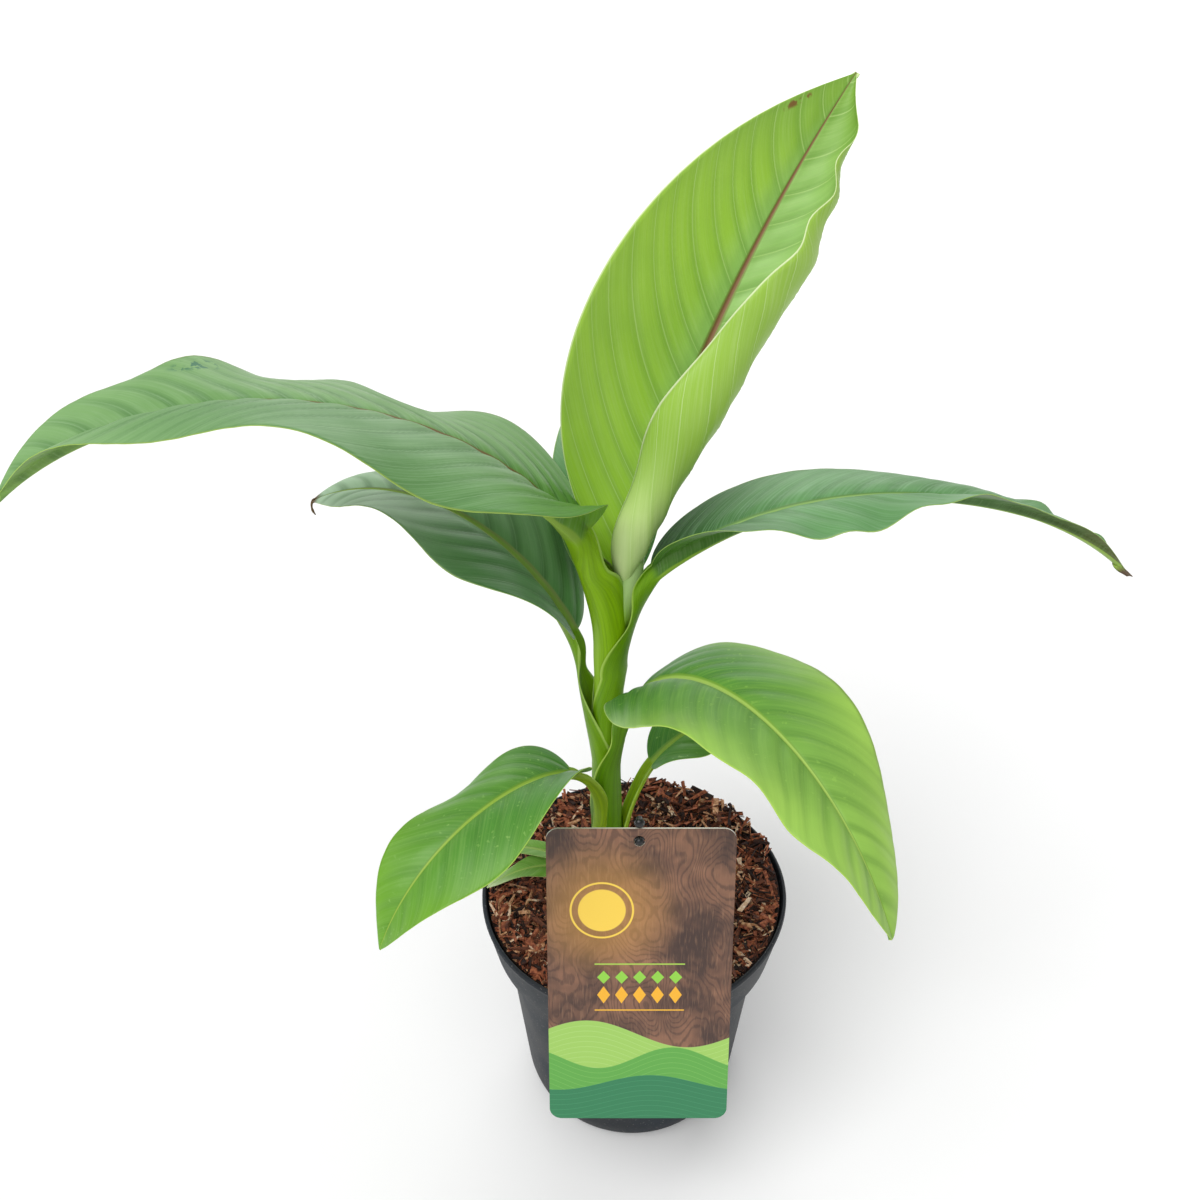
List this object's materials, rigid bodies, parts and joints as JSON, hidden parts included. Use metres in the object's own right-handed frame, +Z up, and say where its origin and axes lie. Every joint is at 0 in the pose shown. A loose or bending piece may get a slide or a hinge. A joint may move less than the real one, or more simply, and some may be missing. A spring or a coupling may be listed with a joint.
{
  "type": "potted banana plant",
  "caption": "Young banana plant with broad arching leaves on a green sheathed stem, in a filled dark nursery pot with a picture label on a thin stake.",
  "frame": {"origin": "centre of the pot's flat underside", "axes": "+Z up along the pot, -Y towards the side with the picture label, +X to the right of someone facing that label"},
  "size_m": [0.5607, 0.3901, 0.6287],
  "materials": {
    "pot": "matt",
    "soil": "rough loose bark and coir",
    "stem": "smooth waxy",
    "leaf": "satin",
    "leaf_new": "satin",
    "label": "laminated",
    "stake": "satin"
  },
  "bodies": {
    "root": {"pot": "pot", "soil": "soil", "stem": "stem", "leaf_crown": "leaf_new", "leaf_left": "leaf", "leaf_right": "leaf", "leaf_back_left": "leaf", "leaf_front_right": "leaf", "leaf_front_left": "leaf", "leaf_low_right": "leaf", "leaf_back": "leaf", "leaf_young_left": "leaf_new", "leaf_young_front": "leaf_new", "label_card": "label", "label_stake": "stake"}
  },
  "joints": []
}
